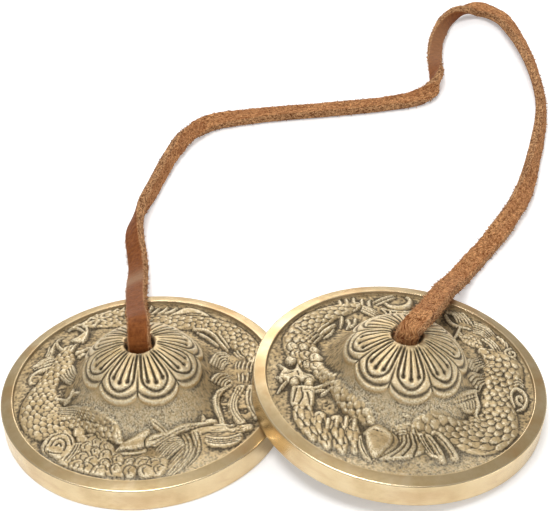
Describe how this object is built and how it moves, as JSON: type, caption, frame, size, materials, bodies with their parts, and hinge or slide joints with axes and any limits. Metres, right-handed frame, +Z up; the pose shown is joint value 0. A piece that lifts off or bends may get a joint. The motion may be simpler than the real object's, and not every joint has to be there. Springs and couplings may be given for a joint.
{
  "type": "tingsha",
  "caption": "Small cast brass cymbals with raised dragons round a lotus dome, joined by a flat leather thong that is knotted inside the domes.",
  "frame": {"origin": "on the table, at the middle of the box round both cymbals", "axes": "+X from the flat-lying left cymbal to the leaning right cymbal through both centres, +Y towards the loop of the thong, +Z up"},
  "size_m": [0.1417, 0.2388, 0.0269],
  "materials": {
    "cast_brass": "cast, polished on the rim, darkened in the recesses",
    "leather": "smooth on one side, rough on the other and on the cut edges"
  },
  "bodies": {
    "left_cymbal": {"left_cymbal": "cast_brass"},
    "left_end": {"left_knot": "leather"},
    "thong": {"strap": "leather", "right_knot": "leather"},
    "right_cymbal": {"right_cymbal": "cast_brass"}
  },
  "joints": [
    {"name": "left_swivel", "type": "hinge", "parent": "left_cymbal", "child": "left_end", "pos_m": [-0.03072, 0, 0.01935], "axis": [0, 0, 1], "continuous": true},
    {"name": "strap_lift", "type": "hinge", "parent": "left_end", "child": "thong", "pos_m": [-0.03072, 0, 0.01935], "axis": [0, -1, 0], "range_deg": [0, 30], "deforming": ["strap"]},
    {"name": "right_swivel", "type": "hinge", "parent": "thong", "child": "right_cymbal", "pos_m": [0.03242, 0, 0.02311], "axis": [0.1108, 0, 0.9938], "continuous": true}
  ]
}
